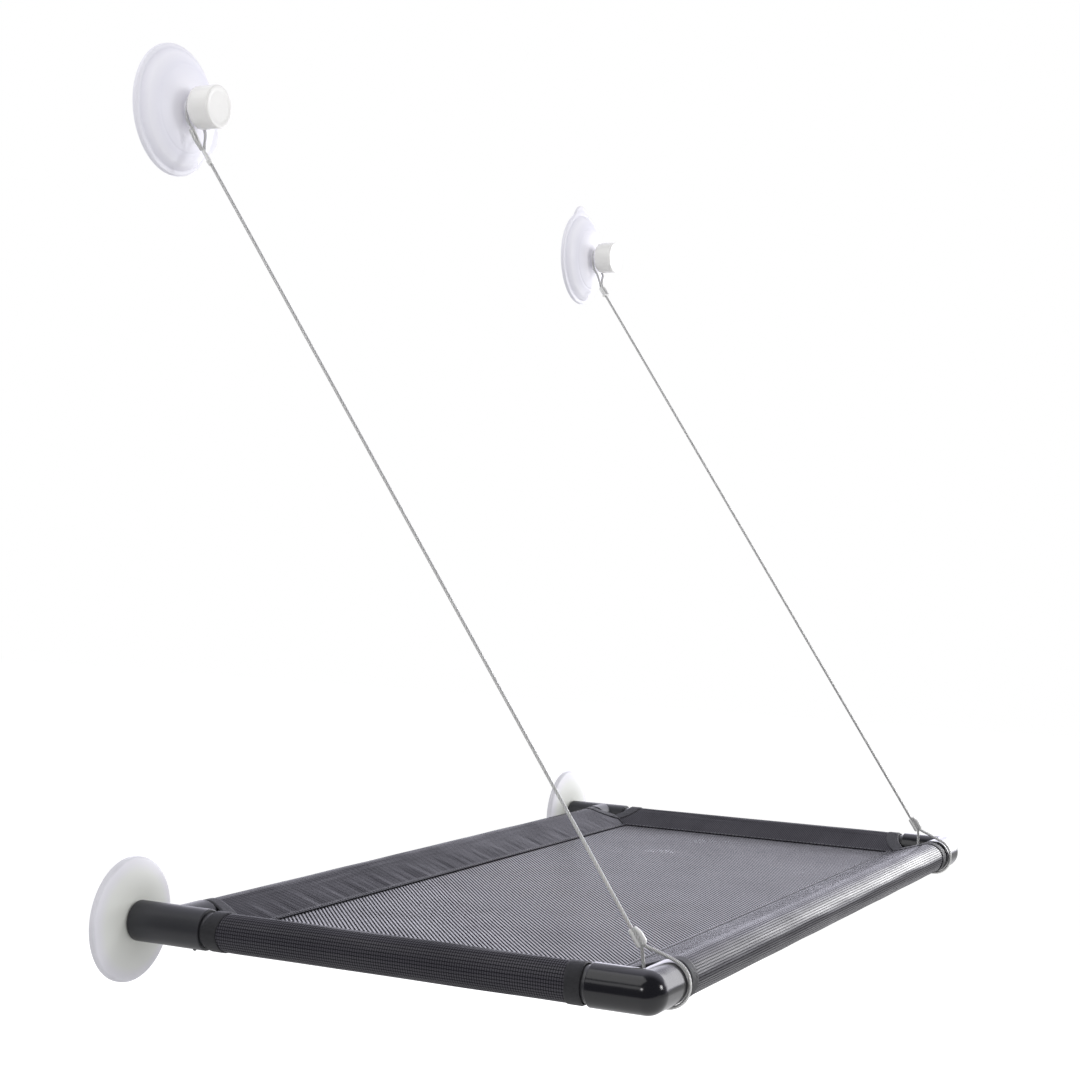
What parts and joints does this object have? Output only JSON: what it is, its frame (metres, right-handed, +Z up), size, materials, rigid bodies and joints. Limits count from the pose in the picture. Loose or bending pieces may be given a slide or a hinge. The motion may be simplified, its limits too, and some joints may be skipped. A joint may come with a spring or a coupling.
{
  "type": "window mounted cat perch",
  "caption": "Cloth sling on a tube frame, held to a window by suction cups at the rear corners and by cables from the front corners up to screw-knob suction cups.",
  "frame": {"origin": "On the window's plane, midway between the side tubes, at the height of the frame tubes' axes", "axes": "+X to the right along the window as seen from the room, +Y into the window, +Z up"},
  "size_m": [0.74, 0.3762, 0.6118],
  "materials": {
    "frame_tube": "satin black paint on steel tube",
    "elbow_plastic": "glossy black moulding",
    "tee_plastic": "satin charcoal moulding",
    "woven_cloth": "open woven coated mesh, dark grey",
    "edge_tape": "fine ribbed tape, near black",
    "lower_cup_vinyl": "clear soft vinyl, slightly milky",
    "upper_cup_vinyl": "clear soft vinyl, faint lavender",
    "stud_steel": "zinc plated",
    "bush_brass": "turned",
    "knob_plastic": "ivory white moulding",
    "cable_steel": "twisted steel in a clear coat",
    "ferrule_aluminium": "crimped, satin"
  },
  "bodies": {
    "frame": {"front_tube": "frame_tube", "rear_tube": "frame_tube", "left_tube": "frame_tube", "right_tube": "frame_tube", "left_elbow": "elbow_plastic", "right_elbow": "elbow_plastic", "left_tee": "tee_plastic", "right_tee": "tee_plastic", "sling_bed": "woven_cloth", "front_sleeve": "woven_cloth", "rear_sleeve": "woven_cloth", "left_sleeve": "woven_cloth", "right_sleeve": "woven_cloth", "front_left_tape": "edge_tape", "front_right_tape": "edge_tape", "rear_left_tape": "edge_tape", "rear_right_tape": "edge_tape", "left_cable": "cable_steel", "right_cable": "cable_steel", "upper_left_ferrule": "ferrule_aluminium", "upper_right_ferrule": "ferrule_aluminium", "lower_left_ferrule": "ferrule_aluminium", "lower_right_ferrule": "ferrule_aluminium"},
    "lower_left_cup": {"lower_left_cup": "lower_cup_vinyl"},
    "lower_right_cup": {"lower_right_cup": "lower_cup_vinyl"},
    "upper_left_cup": {"upper_left_cup": "upper_cup_vinyl", "left_stud": "stud_steel"},
    "upper_right_cup": {"upper_right_cup": "upper_cup_vinyl", "right_stud": "stud_steel"},
    "left_bush": {"left_knob_bush": "bush_brass"},
    "right_bush": {"right_knob_bush": "bush_brass"},
    "left_knob": {"left_knob": "knob_plastic"},
    "right_knob": {"right_knob": "knob_plastic"}
  },
  "joints": [
    {"name": "lower_left_cup_turn", "type": "hinge", "parent": "frame", "child": "lower_left_cup", "pos_m": [-0.33, 0, 0], "axis": [0, 1, 0], "continuous": true},
    {"name": "lower_right_cup_turn", "type": "hinge", "parent": "frame", "child": "lower_right_cup", "pos_m": [0.33, 0, 0], "axis": [0, 1, 0], "continuous": true},
    {"name": "upper_left_cup_turn", "type": "hinge", "parent": "frame", "child": "upper_left_cup", "pos_m": [-0.317, 0, 0.523], "axis": [0, 1, 0], "continuous": true},
    {"name": "upper_right_cup_turn", "type": "hinge", "parent": "frame", "child": "upper_right_cup", "pos_m": [0.317, 0, 0.523], "axis": [0, 1, 0], "continuous": true},
    {"name": "left_knob_travel", "type": "slide", "parent": "upper_left_cup", "child": "left_bush", "axis": [0, -1, 0], "range_m": [0, 0.00501]},
    {"name": "right_knob_travel", "type": "slide", "parent": "upper_right_cup", "child": "right_bush", "axis": [0, -1, 0], "range_m": [0, 0.00501]},
    {"name": "left_knob_turn", "type": "hinge", "parent": "left_bush", "child": "left_knob", "pos_m": [-0.317, -0.03, 0.523], "axis": [0, -1, 0], "range_deg": [0, 1440]},
    {"name": "right_knob_turn", "type": "hinge", "parent": "right_bush", "child": "right_knob", "pos_m": [0.317, -0.03, 0.523], "axis": [0, -1, 0], "range_deg": [0, 1440]}
  ],
  "couplings": [
    {"joint": "left_knob_travel", "follows": "left_knob_turn", "m_per_rad": 0.00019894},
    {"joint": "right_knob_travel", "follows": "right_knob_turn", "m_per_rad": 0.00019894}
  ]
}
